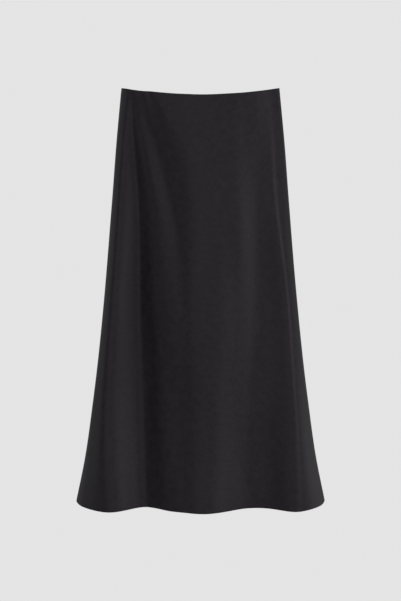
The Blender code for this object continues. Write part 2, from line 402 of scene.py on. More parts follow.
# ---------------------------------------------------------------- finishes
@dataclass(frozen=True)
class SatinFinish:
    """Charcoal satin cut on the bias: dull long floats with a soft sheen, and a flat reverse."""

    name: str = "black_satin"
    face: Colour = (0.0210, 0.0172, 0.0220)
    reverse: Colour = (0.0150, 0.0125, 0.0156)
    roughness: float = 0.48
    reverse_roughness: float = 0.60
    specular: float = 0.5
    gleam: Colour = (1.0, 0.95, 1.02)         # tint of the sheen
    bias: float = 45.0                        # degrees from the centre line to the warp
    long_floats: float = 0.12                 # change along the warp, for each one across it
    floats: Grain = Grain(1 / 0.00045, 1.0)   # threads 0.45 mm apart
    float_relief: float = 0.000012
    streaks: Grain = Grain(330.0, 3.0, 0.6)   # uneven threads
    streak_share: float = 0.3
    patches: Grain = Grain(70.0, 3.0, 0.75)   # uneven pressing
    drift: Grain = Grain(14.0)                # uneven dye
    drift_share: float = 0.15
    mottle: float = 2.20                      # share by which the colour changes with them
    mottle_gloss: float = 0.25                # by how much the roughness does
    mottle_relief: float = 0.00055            # height of the same unevenness
    pucker: float = 0.00012                   # height of the ripples beside a seam
    pucker_pitch: float = 0.0085
    pucker_reach: tuple[float, float] = (0.010, 0.0005)   # from the seam: none here, all here
    wander: Grain = Grain(60.0, 1.0)
    wander_turn: float = 5.0                  # radians by which the ripples stray

    def make(self) -> bpy.types.Material:
        """Build the material. It reads the mesh attributes cloth, seam and inside.

        Returns:
            The material.
        """
        shader = Shader(self.name)
        cloth = shader.attribute("cloth", "Vector")
        seam = shader.attribute("seam")
        inside = shader.attribute("inside")

        warp = shader.stretched(cloth, (1.0, self.long_floats, 1.0), self.bias)
        floats = shader.noise(warp, self.floats)
        streaks = shader.noise(warp, self.streaks) * self.streak_share
        uneven = shader.noise(cloth, self.patches) + streaks
        drift = shader.noise(cloth, self.drift)

        down = shader.add("ShaderNodeSeparateXYZ", {}, {0: cloth}, output=1)
        wander = shader.noise(cloth, self.wander) * self.wander_turn
        waves = (down * (2 * math.pi / self.pucker_pitch) + wander).sine()
        pucker = waves * seam.between(*self.pucker_reach) * self.pucker

        tone = (uneven + drift * self.drift_share) * self.mottle
        colour = shader.blend(
            inside, shader.shade(self.face, tone), shader.shade(self.reverse, tone))
        dullness = self.roughness + inside * (self.reverse_roughness - self.roughness)
        height = floats * self.float_relief + uneven * self.mottle_relief + pucker
        return shader.finish(
            {"Specular IOR Level": self.specular, "Specular Tint": (*self.gleam, 1.0)},
            {"Base Color": colour, "Roughness": dullness + uneven * self.mottle_gloss,
             "Normal": shader.bump(height)})


@dataclass(frozen=True)
class WovenTapeFinish:
    """Narrow woven tape, in a fine herringbone along its length."""

    name: str = "zip_tape_weave"
    colour: Colour = (0.0130, 0.0126, 0.0136)
    roughness: float = 0.86
    sheen: float = 0.12
    specular: float = 0.3
    rib: float = 0.0011                       # pitch of the herringbone
    slant: float = 0.8                        # its rise across the tape
    rib_tone: float = 0.18
    rib_relief: float = 0.00005
    cords: float = 1.5                        # warp cords to a rib
    cord_relief: float = 0.00002
    fuzz: Grain = Grain(2600.0)
    fuzz_tone: float = 0.5
    fuzz_relief: float = 0.00004

    def make(self) -> bpy.types.Material:
        """Build the material on Object coordinates, across X and down Z.

        Returns:
            The material.
        """
        shader = Shader(self.name)
        place = shader.place()
        split = shader.node("ShaderNodeSeparateXYZ", {}, {0: place})
        across, up = Signal(shader, split.outputs[0]), Signal(shader, split.outputs[2])
        turn = 2 * math.pi / self.rib
        zigzag = (across.magnitude() * (turn * self.slant) + up * turn).sine()
        cords = (across * (turn * self.cords)).sine()
        fuzz = shader.noise(place, self.fuzz)
        tone = zigzag * self.rib_tone + fuzz * self.fuzz_tone
        height = zigzag * self.rib_relief + cords * self.cord_relief + fuzz * self.fuzz_relief
        return shader.finish(
            {"Roughness": self.roughness, "Sheen Weight": self.sheen,
             "Specular IOR Level": self.specular},
            {"Base Color": shader.shade(self.colour, tone), "Normal": shader.bump(height)})


@dataclass(frozen=True)
class ThreadFinish:
    """Twisted polyester sewing thread."""

    name: str = "sewing_thread"
    colour: Colour = (0.0190, 0.0178, 0.0196)
    roughness: float = 0.55
    sheen: float = 0.1
    twist: Grain = Grain(2200.0, 1.0)
    twist_tone: float = 0.5
    twist_relief: float = 0.00005

    def make(self) -> bpy.types.Material:
        """Build the material on Object coordinates.

        Returns:
            The material.
        """
        shader = Shader(self.name)
        twist = shader.noise(shader.place(), self.twist)
        return shader.finish(
            {"Roughness": self.roughness, "Sheen Weight": self.sheen},
            {"Base Color": shader.shade(self.colour, twist * self.twist_tone),
             "Normal": shader.bump(twist * self.twist_relief)})


@dataclass(frozen=True)
class NylonFinish:
    """Drawn nylon of the zip's coils, slightly glossy, scuffed where the slider runs."""

    name: str = "nylon_coil"
    colour: Colour = (0.0180, 0.0176, 0.0186)
    roughness: float = 0.38
    specular: float = 0.5
    scuffs: Grain = Grain(900.0, 3.0)
    scuff_tone: float = 0.4
    scuff_gloss: float = 0.25
    scuff_relief: float = 0.00002

    def make(self) -> bpy.types.Material:
        """Build the material on Object coordinates.

        Returns:
            The material.
        """
        shader = Shader(self.name)
        scuffs = shader.noise(shader.place(), self.scuffs)
        return shader.finish(
            {"Specular IOR Level": self.specular},
            {"Base Color": shader.shade(self.colour, scuffs * self.scuff_tone),
             "Roughness": self.roughness + scuffs * self.scuff_gloss,
             "Normal": shader.bump(scuffs * self.scuff_relief)})


@dataclass(frozen=True)
class EnamelFinish:
    """Black enamel over zinc, with orange peel and random patches worn a little bright."""

    name: str = "black_enamel"
    colour: Colour = (0.0150, 0.0148, 0.0156)
    roughness: float = 0.30
    specular: float = 0.6
    coat: float = 0.35
    coat_roughness: float = 0.12
    peel: Grain = Grain(1500.0)
    peel_gloss: float = 0.12
    peel_relief: float = 0.000012
    worn: Colour = (0.0600, 0.0590, 0.0600)
    wear: Grain = Grain(420.0, 4.0, 0.7)
    wear_range: tuple[float, float] = (0.12, 0.30)   # of the noise: none here, all here
    worn_metal: float = 0.6
    worn_gloss: float = 0.15
    worn_coat: float = 0.3                           # coat that is lost

    def make(self) -> bpy.types.Material:
        """Build the material on Object coordinates.

        Returns:
            The material.
        """
        shader = Shader(self.name)
        place = shader.place()
        peel = shader.noise(place, self.peel)
        worn = shader.noise(place, self.wear).between(*self.wear_range)
        return shader.finish(
            {"Specular IOR Level": self.specular, "Coat Roughness": self.coat_roughness},
            {"Base Color": shader.blend(worn, self.colour, self.worn),
             "Metallic": worn * self.worn_metal,
             "Roughness": self.roughness + peel * self.peel_gloss + worn * self.worn_gloss,
             "Coat Weight": self.coat - worn * self.worn_coat,
             "Normal": shader.bump(peel * self.peel_relief)})


@dataclass(frozen=True)
class BackdropFinish:
    """Evenly lit pale paper."""

    name: str = "pale_paper"
    glow: float = 0.779
    colour: Colour = (1.0, 1.0, 1.0)
    grain: Grain = Grain(3.0, 1.0)
    grain_tone: float = 0.004

    def make(self) -> bpy.types.Material:
        """Build the material on Object coordinates.

        Returns:
            The material.
        """
        shader = Shader(self.name)
        grain = shader.noise(shader.place(), self.grain) * self.grain_tone
        return shader.finish(
            {"Base Color": (0.0, 0.0, 0.0, 1.0), "Roughness": 1.0, "Specular IOR Level": 0.0,
             "Emission Strength": self.glow},
            {"Emission Color": shader.shade(self.colour, grain)})


# ---------------------------------------------------------------- the form of the cloth
class Half(Enum):
    """Which half of the skirt a piece of cloth is on, as its facing along Y."""

    FRONT = -1
    BACK = 1

    @property
    def depth(self) -> str:
        """Field of Ring that holds its depth."""
        return "front_depth" if self is Half.FRONT else "back_depth"


@dataclass(frozen=True)
class Ring:
    """Body of the skirt at one height. Squareness is the power of its ring: 2 is an ellipse."""

    drop: float
    half_width: float
    front_depth: float
    back_depth: float
    squareness: float


@dataclass(frozen=True)
class Trough:
    """Soft trough from waist to hem, with its values at the STATIONS.

    Angles are in degrees round the half from its centre line. Outer and inner are the degrees
    from its bottom to its side-seam edge and to its centre-line edge. Lean is how far it is
    pressed towards the centre line rather than straight in. Roundness is the power of its
    section on its outer and inner side, where 2 is broad and 1 is a crease.
    """

    half: Half
    angle: Stations
    depth: Stations
    outer: Stations
    inner: Stations
    lean: Stations
    roundness: tuple[float, float]


@dataclass(frozen=True)
class Crease:
    """Faint fold laid on the cloth between two levels: a ridge, or a furrow below zero height.

    Angles are at its top, middle and bottom, and reach is the degrees to where it fades.
    """

    half: Half
    top: float
    bottom: float
    angle: tuple[float, float, float]
    reach: float
    height: float


@dataclass(frozen=True)
class Swell:
    """Slow unevenness all over a half, as the product of two waves.

    The first turns by around for each degree and by down from waist to hem, and the second only
    down the cloth. Each starts at its phase, and all are in radians.
    """

    share: float
    around: float
    down: float
    phase: float
    beat: float
    beat_phase: float


RINGS = (
    Ring(0.000, 0.1590, 0.088, 0.096, 2.50),     # waist edge
    Ring(0.105, 0.1685, 0.100, 0.114, 2.55),     # high hip
    Ring(0.226, 0.1770, 0.112, 0.130, 2.60),     # hip
    Ring(0.428, 0.1932, 0.128, 0.144, 2.65),     # thigh
    Ring(0.629, 0.2150, 0.144, 0.158, 2.60),     # knee
    Ring(0.750, 0.2320, 0.156, 0.168, 2.40),     # calf
    Ring(0.833, 0.2492, 0.168, 0.178, 2.10),     # hem
)
STATIONS = (0.0, 0.25, 0.5, 0.75, 1.0)
LEVEL = (0.0, 0.0, 0.0, 0.0, 0.0)
TROUGHS = (
    Trough(Half.FRONT, (-52, -45.5, -41, -33, -24), (0.003, 0.036, 0.056, 0.069, 0.065),
           (9, 18, 22, 29, 27), (18, 44, 42, 40, 31), (12, 22, 19, 10, -2), (1.6, 1.8)),
    Trough(Half.FRONT, (-43, -20, -10, -8, -4), (0.0075, 0.016, 0.018, 0.020, 0.016),
           (9, 15, 23, 18, 13), (11, 44, 32, 27, 22), (42, 18, 16, 10, 4), (2.2, 1.8)),
    Trough(Half.FRONT, (37, 34, 31, 26, 22), (0.004, 0.016, 0.040, 0.052, 0.058),
           (26, 19, 31, 32, 30), (48, 50, 50, 46, 33), LEVEL, (2.3, 1.8)),
    Trough(Half.BACK, (-58, -50, -44, -37, -31), (0.003, 0.022, 0.042, 0.058, 0.068),
           (16, 15, 20, 28, 30), (14, 27, 33, 34, 34), (25, 18, 12, 6, 0), (1.6, 1.6)),
    Trough(Half.BACK, (42, 29, 20, 15, 12), (0.003, 0.008, 0.010, 0.012, 0.006),
           (12, 14, 20, 24, 18), (12, 14, 18, 24, 22), LEVEL, (1.8, 1.8)),
    Trough(Half.BACK, (48, 43, 38, 33, 29), (0.002, 0.012, 0.030, 0.044, 0.055),
           (24, 26, 30, 31, 30), (28, 30, 34, 36, 32), LEVEL, (2.2, 1.6)),
)
CREASES = (
    Crease(Half.FRONT, 0.10, 0.75, (-30, -14, -10), 7, -0.0010),
    Crease(Half.FRONT, 0.15, 0.90, (22, 24, 18), 9, 0.0012),
    Crease(Half.BACK, 0.12, 0.80, (-20, -12, -8), 8, -0.0010),
    Crease(Half.BACK, 0.30, 0.95, (8, 10, 7), 8, 0.0010),
)
SWELLS = (
    Swell(1.0, 0.23, 3.1, 0.7, 8.0, 1.3),
    Swell(0.6, 0.41, -4.3, 2.1, 5.0, 0.4),
)
PULL_DROP = 0.0065               # middle of the slider's ring below the waist edge
PULL_LENGTH = 0.026


def smooth_through(places: Sequence[float], values: Sequence[float],
                   where: np.ndarray) -> np.ndarray:
    """Smooth curve through values.

    Args:
        places: Where the values are, rising.
        values: The values.
        where: Where to read the curve.

    Returns:
        The curve's value at each.
    """
    places, values = np.asarray(places, float), np.asarray(values, float)
    slopes = np.gradient(values, places)
    where = np.clip(where, places[0], places[-1])
    row = np.clip(np.searchsorted(places, where) - 1, 0, len(places) - 2)
    span = places[row + 1] - places[row]
    s = (where - places[row]) / span
    return ((2 * s**3 - 3 * s**2 + 1) * values[row] + (s**3 - 2 * s**2 + s) * span * slopes[row]
            + (3 * s**2 - 2 * s**3) * values[row + 1] + (s**3 - s**2) * span * slopes[row + 1])


def between(stations: Stations, level: np.ndarray) -> np.ndarray:
    """Value of a trough at a level, through its values at the STATIONS."""
    return smooth_through(STATIONS, stations, level)


@dataclass(frozen=True)
class ClothForm:
    """The one surface that every panel of the skirt lies on."""

    length: float = 0.833                 # waist edge to hem at the side seams
    front_dip: tuple[float, float] = (0.0100, 0.0182)
    back_dip: float = 0.0100
    side_lift: float = 0.0060
    rim_power: float = 3                  # how softly a trough's section runs out at its edges
    fold_lift: float = 0.09               # rise of the hem in a trough, as a share of its depth
    lift_power: float = 4                 # how closely that rise keeps to the hem
    swell: float = 0.00045                # height of the slow unevenness
    calm: tuple[float, float] = (6.0, 0.27)   # degrees and level held flat by the zip
    calm_fade: float = 0.06               # level over which the hold runs out
    step: float = 0.02                    # degrees and parts per thousand, for slopes
    probe_reach: float = 14.0             # degrees from an edge that are measured along the cloth
    probes: int = 113

    def ring(self, column: str, level: np.ndarray) -> np.ndarray:
        """Value of a field of the RINGS at a level, smooth through theirs."""
        values = [getattr(ring, column) for ring in RINGS]
        return smooth_through([ring.drop for ring in RINGS], values, level * self.length)

    def body(self, half: Half, angle: np.ndarray, level: np.ndarray) -> np.ndarray:
        """Point of the cloth's outer face, with its large folds alone.

        Args:
            half: Front or back.
            angle: Degrees round the half from its centre line.
            level: 0 at the waist to 1 at the hem.

        Returns:
            Points, X, Y, Z on the last axis.
        """
        facing_way = half.value
        across, facing = np.sin(np.radians(angle)), np.cos(np.radians(angle))
        power = self.ring("squareness", level)
        reach = (np.abs(across)**power + np.abs(facing)**power)**(-1 / power)
        front = half is Half.FRONT
        x = self.ring("half_width", level) * across * reach
        y = facing_way * self.ring(half.depth, level) * facing * reach
        if front:
            dip = self.front_dip[0] * facing + self.front_dip[1] * facing**2
        else:
            dip = self.back_dip * facing**2
        z = -dip * (1 - level) - self.length * level + self.side_lift * level * (1 - facing)**2
        for trough in TROUGHS:
            if trough.half is not half:
                continue
            bottom = between(trough.angle, level)
            outwards = np.sign(bottom)
            away = (angle - bottom) * outwards
            spread = np.where(away > 0, between(trough.outer, level), between(trough.inner, level))
            roundness = np.where(away > 0, *trough.roundness)
            hollow = (1 - np.clip(np.abs(away) / spread, 0, 1)**roundness)**self.rim_power
            press = between(trough.depth, level) * hollow
            lean = np.radians(between(trough.lean, level))
            x = x - outwards * press * np.sin(lean)
            y = y - facing_way * press * np.cos(lean)
            z = z + self.fold_lift * press * level**self.lift_power
        return np.stack((x, y, z), axis=-1)

    def body_normal(self, half: Half, angle: np.ndarray, level: np.ndarray) -> np.ndarray:
        """Unit normal of the body, pointing out of the skirt.

        Args:
            half: Front or back.
            angle: Degrees round the half.
            level: 0 at the waist to 1 at the hem.

        Returns:
            Unit vectors.
        """
        turn, small = self.step, self.step / 1000
        around = self.body(half, angle + turn, level) - self.body(half, angle - turn, level)
        down = self.body(half, angle, level + small) - self.body(half, angle, level - small)
        normal = half.value * np.cross(around, down)
        return normal / np.linalg.norm(normal, axis=-1, keepdims=True)

    def relief(self, half: Half, angle: np.ndarray, level: np.ndarray) -> np.ndarray:
        """Height of the swells and the faint creases over the body.

        Args:
            half: Front or back.
            angle: Degrees round the half.
            level: 0 at the waist to 1 at the hem.

        Returns:
            Heights in metres.
        """
        height = self.swell * half.value * sum(
            swell.share * np.sin(swell.around * angle + swell.down * level + swell.phase)
            * np.sin(swell.beat * level + swell.beat_phase) for swell in SWELLS)
        for crease in CREASES:
            if crease.half is not half:
                continue
            along = (level - crease.top) / (crease.bottom - crease.top)
            fade = np.clip(4 * along * (1 - along), 0, 1)
            centre = smooth_through((0.0, 0.5, 1.0), crease.angle, along)
            across = np.clip(np.abs(angle - centre) / crease.reach, 0, 1)
            height = height + crease.height * fade * (1 - across**2)**3
        if half is Half.BACK:
            beside = np.clip(np.abs(angle) / self.calm[0] - 1, 0, 1)
            below = np.clip((level - self.calm[1]) / self.calm_fade, 0, 1)
            loose = np.maximum(beside, below)
            height = height * loose**2 * (3 - 2 * loose)
        return height

    def zip_place(self, drop: float, out: float) -> Matrix:
        """Placement on the centre-back line: X across, Y out of the skirt, Z up the cloth.

        Args:
            drop: Length below the waist edge.
            out: Distance outside the cloth, negative inside.

        Returns:
            The placement, with the lie of the cloth over the length of the pull.
        """
        angle = np.zeros(3)
        level = np.array((drop, 0.0, PULL_LENGTH)) / self.length
        lie = self.body(Half.BACK, angle, level)
        up = Vector(lie[1] - lie[2]).normalized()
        outwards = up.cross(Vector((1, 0, 0))).normalized()
        origin = Vector(lie[0] + out * self.body_normal(Half.BACK, angle, level)[0])
        turn = Matrix((Vector((1, 0, 0)), outwards, up)).transposed().to_4x4()
        return Matrix.Translation(origin) @ turn

    def point(self, half: Half, angle: np.ndarray, level: np.ndarray,
              out: np.ndarray | float = 0.0) -> np.ndarray:
        """Point of the cloth, with its creases, some way outside its outer face.

        Args:
            half: Front or back.
            angle: Degrees round the half, from -90 at the -X side seam to 90.
            level: 0 at the waist to 1 at the hem.
            out: Distance outside the outer face, negative inside.

        Returns:
            Points, X, Y, Z on the last axis.
        """
        angle, level, out = np.broadcast_arrays(
            np.asarray(angle, float), np.asarray(level, float), np.asarray(out, float))
        height = (self.relief(half, angle, level) + out)[..., None]
        return self.body(half, angle, level) + height * self.body_normal(half, angle, level)

    def angles_from_edge(self, half: Half, edge: np.ndarray, inwards: int, levels: np.ndarray,
                         distances: Sequence[float]) -> np.ndarray:
        """Angles that lie set distances along the cloth from an edge of it.

        Args:
            half: Front or back.
            edge: Angle of the edge at each level.
            inwards: Which way the cloth lies from the edge, 1 or -1.
            levels: The levels.
            distances: The distances, rising from zero.

        Returns:
            Angles, a row for each distance and a column for each level.
        """
        probe = np.linspace(0.0, self.probe_reach, self.probes)[:, None]
        angles = edge + inwards * probe
        points = self.body(half, angles, np.broadcast_to(levels, angles.shape))
        steps = np.linalg.norm(np.diff(points, axis=0), axis=-1)
        travelled = np.concatenate((np.zeros((1, len(levels))), steps.cumsum(axis=0)))
        found = [np.interp(distances, travelled[:, k], angles[:, k] * inwards) * inwards
                 for k in range(len(levels))]
        return np.array(found).T


FORM = ClothForm()


# ---------------------------------------------------------------- meshes
CORE = (slice(1, -1), slice(1, -1))      # a grid without its border


def mesh_from_grid(name: str, outer: np.ndarray, inner: np.ndarray) -> bpy.types.Mesh:
    """Closed mesh between two grids of points that share their border.

    Args:
        name: The mesh's name.
        outer: Points of the outer face, columns by rows by 3.
        inner: Points of the inner face, of the same shape.

    Returns:
        The mesh, outer points first, with its faces pointing outwards.
    """
    number = np.arange(outer[..., 0].size).reshape(outer.shape[:2])
    second = number.copy()
    second[CORE] = number.size + np.arange(number[CORE].size).reshape(number[CORE].shape)

    def quads(ids: np.ndarray, flip: bool) -> np.ndarray:
        """Corner numbers of a grid's faces.

        Args:
            ids: Numbers of the grid's points.
            flip: Whether the faces look the other way.

        Returns:
            Four numbers for each face.
        """
        loop = (ids[:-1, :-1], ids[1:, :-1], ids[1:, 1:], ids[:-1, 1:])
        faces = np.stack([corner.ravel() for corner in loop], axis=1)
        return faces[:, ::-1] if flip else faces

    points = np.concatenate((outer.reshape(-1, 3), inner[CORE].reshape(-1, 3)))
    faces = np.concatenate((quads(number, False), quads(second, True)))
    mesh = bpy.data.meshes.new(name)
    mesh.from_pydata(points.tolist(), [], faces.tolist())
    outwards_first(mesh)
    return mesh


def outwards_first(mesh: bpy.types.Mesh) -> None:
    """Recalculate a closed mesh's faces so that they point outwards, and shade it smooth.

    Args:
        mesh: The mesh, which is changed.
    """
    form = bmesh.new()
    form.from_mesh(mesh)
    bmesh.ops.recalc_face_normals(form, faces=form.faces)
    form.to_mesh(mesh)
    form.free()
    mesh.shade_smooth()


def set_attribute(mesh: bpy.types.Mesh, name: str, values: np.ndarray) -> None:
    """Store a number or a vector on each point of a mesh.

    Args:
        mesh: The mesh.
        name: Name of the attribute.
        values: One number or vector for each point.
    """
    kind, field_name = ("FLOAT_VECTOR", "vector") if values.ndim > 1 else ("FLOAT", "value")
    made = mesh.attributes.new(name, kind, "POINT")
    made.data.foreach_set(field_name, values.astype(np.float32).ravel())


def add_object(name: str, mesh: bpy.types.Mesh, *finishes: bpy.types.Material) -> bpy.types.Object:
    """Object at the origin for a mesh, with its material if it has none yet.

    Args:
        name: Name of the piece.
        mesh: Its mesh, in its place.
        finishes: The material, unless the mesh has it.

    Returns:
        The object.
    """
    piece = bpy.data.objects.new(name, mesh)
    for finish in finishes:
        mesh.materials.append(finish)
    bpy.context.scene.collection.objects.link(piece)
    return piece


def add_piece(piece: bpy.types.Object, body: str, slot: str, *nodes: str) -> bpy.types.Object:
    """Attach a finished object to its body and hide the nodes that it stands for.

    Args:
        piece: The finished object.
        body: Body that it rides on.
        slot: Material slot; not used.
        nodes: CAD nodes that it stands for.

    Returns:
        The same object.
    """
    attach(piece, body)
    if nodes:
        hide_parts(*nodes)
    log.info("%s: %d faces on %s", piece.name, len(piece.data.polygons), body)
    return piece


# ---------------------------------------------------------------- cut panels
CENTRE = -1                      # guide along the centre line, not along a trough


@dataclass(frozen=True)
class Panel:
    """One cut piece of the skirt, a closed shell with its edges turned in and rounded."""

    name: str
    half: Half
    edges: tuple[float, float]                # angles of its two long edges
    guides: tuple[tuple[int, int], ...]       # trough number or CENTRE, and the columns up to it
    last_columns: int                         # from the last guide to the second edge
    flat: tuple[float, float]                 # finished width and length
    area: float
    rows: int = 180
    rim: float = 0.0007                       # radius of a turned edge
    double: float = 0.0014                    # cloth and its turned edge
    single: float = 0.0006
    allowance: float = 0.010                  # turned in at the seams
    allowance_columns: tuple[float, ...] = (0.003, 0.0065)
    hem_turn: float = 0.012
    hem_rows: tuple[float, ...] = (0.004, 0.008)
    waist_turn: float = 0.010
    waist_rows: tuple[float, ...] = (0.003, 0.006)
    raw_step: float = 0.00025                 # run of the step at a raw edge
    seam_gap: float = 0.0000002               # too fine for light to find
    notch_gap: float = 0.0024                 # the seam stands open round the slider's neck
    notch_depth: float = 0.010
    notch_end: float = 0.014
    sharp: float = 60.0                       # degrees between faces that make a hard edge

    @property
    def side(self) -> float:
        """The side of the centre line that a back panel is on, 1 or -1."""
        return math.copysign(1, sum(self.edges))

    def rim_distances(self) -> list[float]:
        """Distances from an edge that make its rounding, from the edge inwards."""
        return [self.rim * (1 - math.cos(math.radians(turn))) for turn in range(0, 91, 30)]

    def edge_angle(self, edge: float, levels: np.ndarray) -> np.ndarray:
        """Angle of a long edge at each level, short of the seam by half its gap.

        Args:
            edge: Angle of the seam, or 0 for the centre back.
            levels: Levels of the rows.

        Returns:
            An angle for each level.
        """
        if edge:
            depth = FORM.ring(self.half.depth, levels)
            return edge - math.copysign(1, edge) * np.degrees(self.seam_gap / 2 / depth)
        drop = levels * FORM.length
        shut = np.clip((drop - self.notch_depth) / (self.notch_end - self.notch_depth), 0, 1)
        gap = self.notch_gap + (self.seam_gap - self.notch_gap) * shut
        return self.side * np.degrees(gap / 2 / FORM.ring("half_width", levels))

    def levels(self) -> np.ndarray:
        """Levels of the rows, with rows at the roundings and at the turned edges.

        Returns:
            The levels, rising.
        """
        length, rounding = FORM.length, self.rim_distances()
        top = [*rounding, *self.waist_rows, self.waist_turn - self.raw_step, self.waist_turn,
               self.notch_end]
        bottom = [length - rise for rise in (
            *rounding, *self.hem_rows, self.hem_turn - self.raw_step, self.hem_turn)]
        middle = np.linspace(top[-1], bottom[-1], self.rows + 1)[1:-1]
        return np.array([*top, *middle, *bottom[::-1]]) / length

    def angles(self, levels: np.ndarray) -> np.ndarray:
        """Angles of the grid, columns by rows, with columns along the bottoms of its troughs.

        Args:
            levels: Levels of the rows.

        Returns:
            The angles in degrees.
        """
        inset = [*self.rim_distances(), *self.allowance_columns, self.allowance - self.raw_step,
                 self.allowance]
        start, end = (self.edge_angle(edge, levels) for edge in self.edges)
        columns = list(FORM.angles_from_edge(self.half, start, 1, levels, inset))
        last = FORM.angles_from_edge(self.half, end, -1, levels, inset)[::-1]
        stops = [(between(LEVEL if guide == CENTRE else TROUGHS[guide].angle, levels), count)
                 for guide, count in self.guides]
        for stop, count in [*stops, (last[0], self.last_columns)]:
            begin = columns[-1]
            columns += [begin + (stop - begin) * k / count for k in range(1, count + 1)]
        return np.array([*columns, *last[1:]])

    def build(self, satin: bpy.types.Material) -> bpy.types.Object:
        """Build the panel.

        Args:
            satin: Its finish.

        Returns:
            The object, riding on the skirt.
        """
        levels = self.levels()
        angles = self.angles(levels)
        rows = np.broadcast_to(levels, angles.shape)
        face = FORM.point(self.half, angles, rows)
        run = np.linalg.norm(np.diff(face, axis=0, prepend=face[:1]), axis=-1).cumsum(axis=0)
        seam = np.minimum(run, run[-1] - run)
        drop = rows * FORM.length
        rise = FORM.length - drop

        nearest = np.clip(np.minimum.reduce((seam, drop, rise)) / self.rim, 0, 1)
        rounding = self.rim * (1 - np.sqrt(1 - (1 - nearest)**2))
        turned = ((seam < self.allowance - self.raw_step / 2)
                  | (drop < self.waist_turn - self.raw_step / 2)
                  | (rise < self.hem_turn - self.raw_step / 2))
        wall = np.where(turned, self.double, self.single)
        outer = FORM.point(self.half, angles, rows, -rounding)
        inner = FORM.point(self.half, angles, rows, rounding - wall)

        mesh = mesh_from_grid(self.name, outer, inner)
        across = run - run[-1] / 2 if self.half is Half.FRONT else self.side * run
        cloth = np.stack((across, drop, np.zeros_like(run)), axis=-1)
        for name, on_outer, on_inner in (
                ("cloth", cloth, cloth), ("seam", seam, seam),
                ("inside", np.zeros_like(seam), np.ones_like(seam))):
            both = (grid.reshape(-1, *grid.shape[2:]) for grid in (on_outer, on_inner[CORE]))
            set_attribute(mesh, name, np.concatenate(tuple(both)))
        mesh.set_sharp_from_angle(angle=math.radians(self.sharp))
        piece = add_object(f"satin_{self.name}", mesh, satin)
        return add_piece(piece, "skirt", "satin", self.name)


PANELS = (
    Panel("front_panel", Half.FRONT, (-90, 90), ((0, 40), (CENTRE, 34), (2, 34)), 40,
          (0.685, 0.836), 0.437),
    Panel("back_left_panel", Half.BACK, (-90, 0), ((3, 34),), 38, (0.360, 0.836), 0.231),
    Panel("back_right_panel", Half.BACK, (0, 90), ((5, 38),), 34, (0.360, 0.836), 0.231),
)


@dataclass
class Skirt:
    """The cloth of the skirt."""

    satin: SatinFinish = field(default_factory=SatinFinish)

    def build(self) -> list[bpy.types.Object]:
        """Build every panel.

        Returns:
            The panels.
        """
        finish = self.satin.make()
        pieces = []
        for panel in PANELS:
            piece = panel.build(finish)
            pieces.append(piece)
        return pieces


# ---------------------------------------------------------------- stitching
Point = tuple[float, float, float]


@dataclass(frozen=True)
class Stitch:
    """Form of one stitch, as strands of thread from a start over a middle to an end.

    A strand's points are in shares of the pitch along the path, of the width across it and of
    the height off the cloth.
    """

    name: str
    pitch: float
    width: float
    height: float
    thread: float                    # radius
    strands: tuple[tuple[Point, Point, Point], ...]
    steps: int = 3                   # faces along a strand and round it
    sides: int = 4

    def sew(self, name: str, runs: Sequence["Run"], finish: bpy.types.Material) -> bpy.types.Object:
        """Sew along every run.

        Args:
            name: Name of the piece.
            runs: Where it goes.
            finish: Material of the thread.

        Returns:
            The piece.
        """
        tree = GeometryTree(f"{self.name}_stitch")
        pitch, width, height, thread = (
            tree.named_input(label) for label in ("Pitch", "Width", "Height", "Thread"))
        path = tree.path(pitch)
        strands = []
        for points in self.strands:
            start, middle, end = (tree.combine(pitch * along, width * across, height * up)
                                  for along, across, up in points)
            bow = tree.add("GeometryNodeCurveQuadraticBezier", {}, {
                "Resolution": self.steps, "Start": start, "Middle": middle, "End": end})
            strands.append(tree.tube(bow, thread, self.sides))
        tree.close(tree.along(path, tree.join(strands), "X", "Z"))
        return tree.grow(name, path_mesh(name, runs), {
            "Pitch": self.pitch, "Width": self.width, "Height": self.height,
            "Thread": self.thread, "Finish": finish})


@dataclass(frozen=True)
class Run:
    """Line of stitching: points, the way off the cloth at each, and the side it widens to."""

    points: np.ndarray
    off: np.ndarray
    towards: np.ndarray

    def turned(self) -> "Run":
        """The same run, in the direction that puts a stitch's width on the side it widens to.

        Returns:
            The run.
        """
        middle = len(self.points) // 2
        forward = self.points[middle + 1] - self.points[middle]
        side = np.dot(np.cross(self.off[middle], forward), self.towards)
        return self if side > 0 else Run(self.points[::-1], self.off[::-1], self.towards)


def path_mesh(name: str, runs: Sequence[Run]) -> bpy.types.Mesh:
    """Mesh of loose edges along runs, with the attribute off on its points.

    Args:
        name: Name of the piece that grows on it.
        runs: The runs.

    Returns:
        The mesh.
    """
    points, edges, off = [], [], []
    for run in (run.turned() for run in runs):
        first = len(points)
        points += run.points.tolist()
        off += run.off.tolist()
        edges += [(k, k + 1) for k in range(first, len(points) - 1)]
    mesh = bpy.data.meshes.new(f"{name}_path")
    mesh.from_pydata(points, edges, [])
    set_attribute(mesh, "off", np.array(off))
    return mesh


OVERLOCK = Stitch("overlock", 0.0028, 0.0042, 0.0003, 0.00014, (
    ((-0.5, -0.5, 0.6), (-0.1, 0.0, 1.6), (0.1, 0.5, 0.6)),
    ((0.1, 0.5, 0.6), (0.3, 0.0, 1.6), (0.5, -0.5, 0.6)),
    ((-0.5, 0.5, 0.8), (0.0, 0.6, 1.8), (0.5, 0.5, 0.8))))
BLIND = Stitch("blind", 0.0065, 0.0016, 0.0002, 0.00013, (
    ((-0.14, -0.5, 0.5), (0.0, 0.0, 3.0), (0.14, 0.5, 0.5)),))
LOCK = Stitch("lock", 0.0025, 0.0, 0.0002, 0.00014, (
    ((-0.40, 0.0, 0.2), (0.0, 0.0, 2.0), (0.40, 0.0, 0.2)),))


